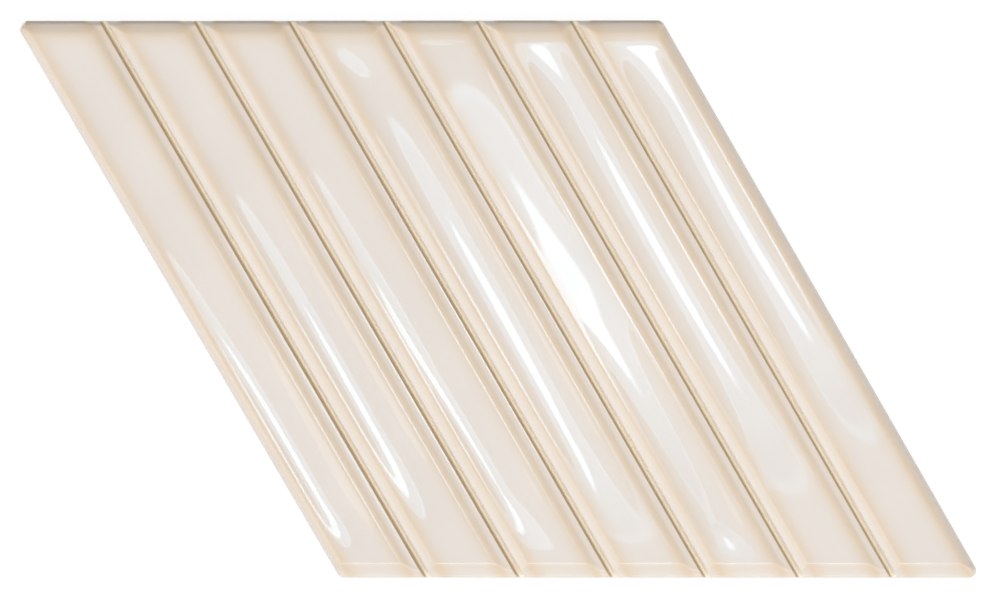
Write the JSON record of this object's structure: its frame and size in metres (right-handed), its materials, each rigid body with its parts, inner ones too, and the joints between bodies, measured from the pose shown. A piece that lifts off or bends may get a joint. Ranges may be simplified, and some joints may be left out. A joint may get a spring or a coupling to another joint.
{
  "type": "ceramic wall tile",
  "caption": "Rhombic glazed ceramic wall tile: raised, dished bars run parallel to one pair of sides with false-joint grooves between them, over a keyed back.",
  "frame": {"origin": "centre of the back, on the plane that meets the adhesive", "axes": "+Z out of the glazed face, +X along the two sides that the short ends of the bars make, +Y square to them in the plane of the tile"},
  "size_m": [0.2062, 0.1203, 0.009],
  "materials": {
    "glaze": "glossy cream glaze, warmer beige where it runs thin over the crests and rims"
  },
  "bodies": {
    "root": {"tile": "glaze"}
  },
  "joints": []
}
